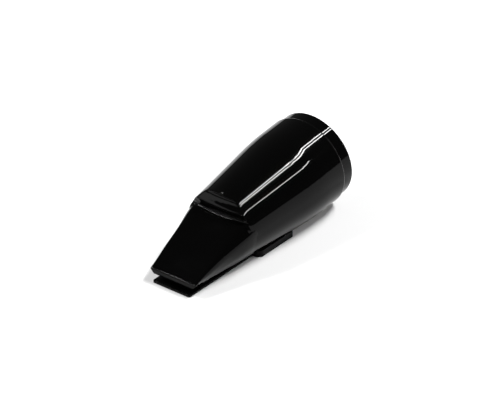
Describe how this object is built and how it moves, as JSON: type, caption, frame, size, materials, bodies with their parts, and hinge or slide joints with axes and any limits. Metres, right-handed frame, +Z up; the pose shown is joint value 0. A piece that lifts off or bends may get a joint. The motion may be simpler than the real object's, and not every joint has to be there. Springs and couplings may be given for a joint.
{
  "type": "dust blower",
  "caption": "Hand dust blower: tapered black barrel, flat beak nozzle over a sliding lower lip, thumb-pumped rubber pad in the rear collar.",
  "frame": {"origin": "centre of the part's box on the surface it rests on", "axes": "+Z up, -Y the way the nozzle points, +Y towards the thumb pad, +X to the right seen from behind"},
  "size_m": [0.044, 0.1068, 0.0427],
  "materials": {
    "gloss_black_abs": "polished injection-moulded black",
    "satin_black_acetal": "satin black moulded",
    "acetal_natural": "natural white acetal",
    "grey_nylon": "moulded grey nylon",
    "black_rubber": "matte moulded rubber",
    "silicone_valve": "red-brown silicone",
    "spring_steel": "drawn spring wire",
    "screw_steel": "nickel plated",
    "screen_steel": "etched stainless sheet",
    "felt": "grey wool felt"
  },
  "bodies": {
    "barrel": {"barrel_shell": "gloss_black_abs", "rear_collar": "gloss_black_abs", "collar_seal": "black_rubber", "clamp_ring": "grey_nylon", "clamp_screws": "screw_steel", "rolling_diaphragm": "black_rubber", "bulkhead": "grey_nylon", "bulkhead_gasket": "black_rubber", "outlet_cage": "grey_nylon", "outlet_spring": "spring_steel", "nozzle_screen": "screen_steel", "guide_rail_right": "acetal_natural", "guide_rail_left": "acetal_natural", "brake_pad": "felt"},
    "thumb": {"thumb_pad": "black_rubber", "piston_cup": "grey_nylon", "intake_cage": "grey_nylon", "intake_filter": "felt", "return_spring": "spring_steel"},
    "intake_valve": {"intake_disc": "silicone_valve"},
    "outlet_valve": {"outlet_disc": "silicone_valve"},
    "slide": {"lip_slide": "satin_black_acetal"}
  },
  "joints": [
    {"name": "thumb_press", "type": "slide", "parent": "barrel", "child": "thumb", "axis": [0, -0.9963, -0.0859], "range_m": [0, 0.006], "stiffness_N_per_m": 700, "springref_m": -0.0015, "deforming": ["return_spring", "rolling_diaphragm"]},
    {"name": "intake_lift", "type": "slide", "parent": "thumb", "child": "intake_valve", "axis": [0, -0.9963, -0.0859], "range_m": [0, 0.0012], "stiffness_N_per_m": 15, "springref_m": -0.001},
    {"name": "outlet_lift", "type": "slide", "parent": "barrel", "child": "outlet_valve", "axis": [0, -0.9963, -0.0859], "range_m": [0, 0.0012], "stiffness_N_per_m": 15, "springref_m": -0.001, "deforming": ["outlet_spring"]},
    {"name": "lip_slide_back", "type": "slide", "parent": "barrel", "child": "slide", "axis": [0, 1, 0], "range_m": [0, 0.007]}
  ]
}
